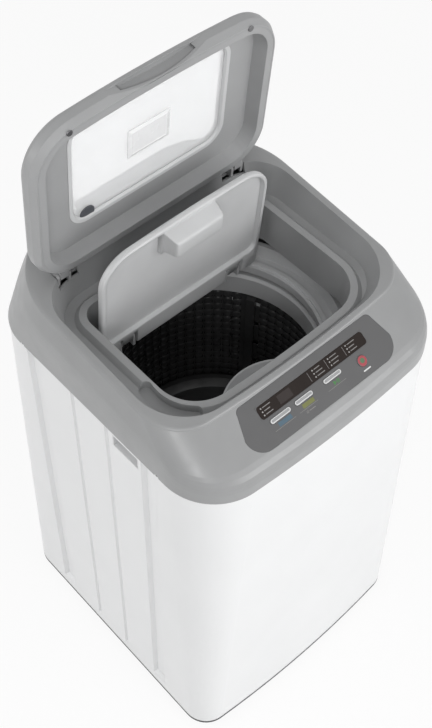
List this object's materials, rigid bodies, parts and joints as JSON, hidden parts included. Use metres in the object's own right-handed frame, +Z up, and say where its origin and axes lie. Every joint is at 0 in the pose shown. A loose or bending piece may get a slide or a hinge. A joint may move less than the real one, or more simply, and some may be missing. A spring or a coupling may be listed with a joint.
{
  "type": "portable washing machine",
  "caption": "Compact top-loading washing machine: grooved sheet cabinet, sloping key panel, hinged windowed lid over an inner lid, and a hung tub with basket and pulsator.",
  "frame": {"origin": "on the floor, under the middle of the cabinet", "axes": "+Z up, -Y out of the front with the control panel, +X to the right seen from the front"},
  "size_m": [0.427, 0.4559, 1.0373],
  "materials": {
    "white_sheet": "satin",
    "grey_plastic": "satin",
    "lid_plastic": "satin",
    "light_plastic": "satin",
    "dark_plastic": "satin",
    "panel_plastic": "gloss",
    "display_plastic": "gloss",
    "key_plastic": "gloss",
    "power_plastic": "gloss",
    "tub_plastic": "matt",
    "clear_pane": "clear",
    "steel": "plain",
    "alloy": "cast",
    "dark_rubber": "matt",
    "motor_paint": "satin"
  },
  "bodies": {
    "body": {"cabinet_shell": "white_sheet", "hand_grips": "grey_plastic", "base_frame": "dark_plastic", "feet": "dark_rubber", "back_panel": "white_sheet", "back_screws": "steel", "top_cover": "grey_plastic", "cover_screws": "steel", "control_fascia": "panel_plastic", "display_strip": "display_plastic", "control_board": "dark_plastic", "hinge_brackets": "dark_plastic", "hinge_pins": "steel", "corner_hangers": "steel", "suspension_rods": "steel", "suspension_springs": "steel", "inlet_valve": "tub_plastic", "fill_duct": "tub_plastic", "drain_pump": "tub_plastic", "capacitor": "alloy", "level_sensor": "dark_plastic", "lid_switch": "dark_plastic", "cord_gland": "dark_plastic"},
    "lid": {"lid_frame": "lid_plastic", "lid_liner": "lid_plastic", "lid_gasket": "light_plastic", "lid_window": "clear_pane", "lid_screws": "steel", "lid_bumper": "dark_rubber"},
    "key_left": {"key_left": "key_plastic"},
    "key_middle": {"key_middle": "key_plastic"},
    "key_right": {"key_right": "key_plastic"},
    "key_power": {"key_power": "power_plastic"},
    "tub": {"outer_tub": "tub_plastic", "tub_cover": "light_plastic", "suspension_cups": "tub_plastic", "bearing_housing": "alloy", "bearings": "steel", "shaft_seal": "dark_rubber", "clutch": "steel", "motor_plate": "steel", "motor": "motor_paint", "drain_outlet": "tub_plastic", "drive_belt": "dark_rubber", "inner_lid_pins": "steel"},
    "inner_lid": {"inner_lid": "light_plastic"},
    "drum": {"basket": "dark_plastic", "balance_ring": "tub_plastic", "basket_hub": "alloy", "spin_tube": "steel"},
    "pulsator": {"pulsator": "dark_plastic", "pulsator_shaft": "steel", "driven_pulley": "alloy"},
    "motor_rotor": {"motor_shaft": "steel", "motor_pulley": "alloy"}
  },
  "joints": [
    {"name": "lid_hinge", "type": "hinge", "parent": "body", "child": "lid", "pos_m": [0, 0.12918, 0.76889], "axis": [1, 0, 0], "range_deg": [0, 90]},
    {"name": "key_left_press", "type": "slide", "parent": "body", "child": "key_left", "axis": [0, 0.5558, -0.8313], "range_m": [0, 0.0007], "stiffness_N_per_m": 400},
    {"name": "key_middle_press", "type": "slide", "parent": "body", "child": "key_middle", "axis": [0, 0.5558, -0.8313], "range_m": [0, 0.0007], "stiffness_N_per_m": 400},
    {"name": "key_right_press", "type": "slide", "parent": "body", "child": "key_right", "axis": [0, 0.5558, -0.8313], "range_m": [0, 0.0007], "stiffness_N_per_m": 400},
    {"name": "key_power_press", "type": "slide", "parent": "body", "child": "key_power", "axis": [0, 0.5558, -0.8313], "range_m": [0, 0.0007], "stiffness_N_per_m": 400},
    {"name": "tub_bounce", "type": "slide", "parent": "body", "child": "tub", "axis": [0, 0, 1], "range_m": [-0.015, 0.006], "stiffness_N_per_m": 12000, "springref_m": 0.01028, "deforming": ["suspension_springs"]},
    {"name": "inner_lid_hinge", "type": "hinge", "parent": "tub", "child": "inner_lid", "pos_m": [0, 0.078, 0.64], "axis": [1, 0, 0], "range_deg": [0, 85.1]},
    {"name": "drum_spin", "type": "hinge", "parent": "tub", "child": "drum", "pos_m": [0, 0, 0.33], "axis": [0, 0, 1], "continuous": true},
    {"name": "pulsator_spin", "type": "hinge", "parent": "tub", "child": "pulsator", "pos_m": [0, 0, 0.35], "axis": [0, 0, 1], "continuous": true},
    {"name": "motor_spin", "type": "hinge", "parent": "tub", "child": "motor_rotor", "pos_m": [0, 0.12, 0.23], "axis": [0, 0, 1], "continuous": true}
  ],
  "couplings": [
    {"joint": "inner_lid_hinge", "follows": "lid_hinge", "ratio": 0.94444},
    {"joint": "motor_spin", "follows": "pulsator_spin", "ratio": 3.0103}
  ]
}
